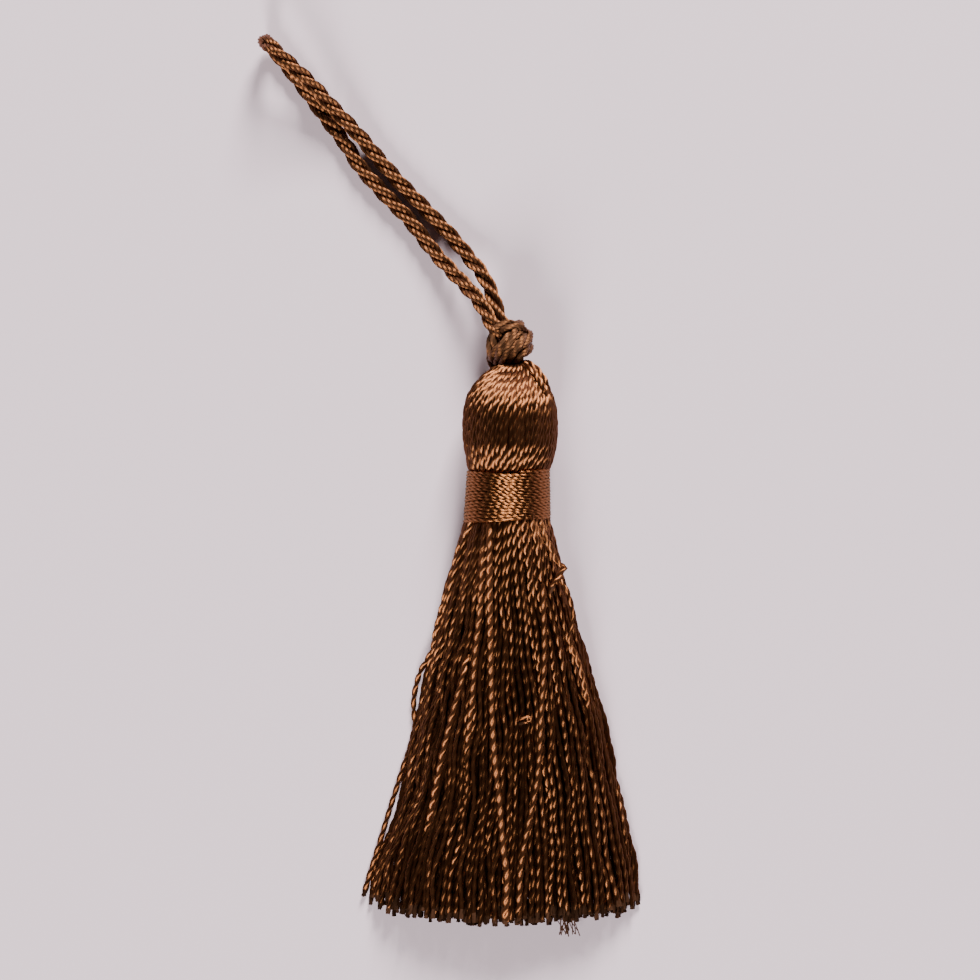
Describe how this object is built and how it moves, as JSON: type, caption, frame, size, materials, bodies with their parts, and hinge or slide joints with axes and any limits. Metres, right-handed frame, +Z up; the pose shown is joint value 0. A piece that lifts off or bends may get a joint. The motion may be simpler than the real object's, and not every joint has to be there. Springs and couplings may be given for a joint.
{
  "type": "tassel",
  "caption": "Small tassel of twisted yarn lying flat: a round head above a wound neck, a fanned skirt, and a loop of laid cord that leaves a knot on top of the head.",
  "frame": {"origin": "on the table under the middle of the tassel, its hanging loop left out", "axes": "+Z up from the table; +Y along the tassel from the skirt's hem to the knot"},
  "size_m": [0.0392, 0.091, 0.0094],
  "materials": {
    "twisted_yarn": "satin twisted rayon yarn",
    "wound_yarn": "satin rayon yarn, wound",
    "laid_cord": "soft satin laid cord"
  },
  "bodies": {
    "root": {"yarn_bundle": "twisted_yarn", "neck_binding": "wound_yarn", "knot": "laid_cord", "hanging_loop": "laid_cord"}
  },
  "joints": []
}
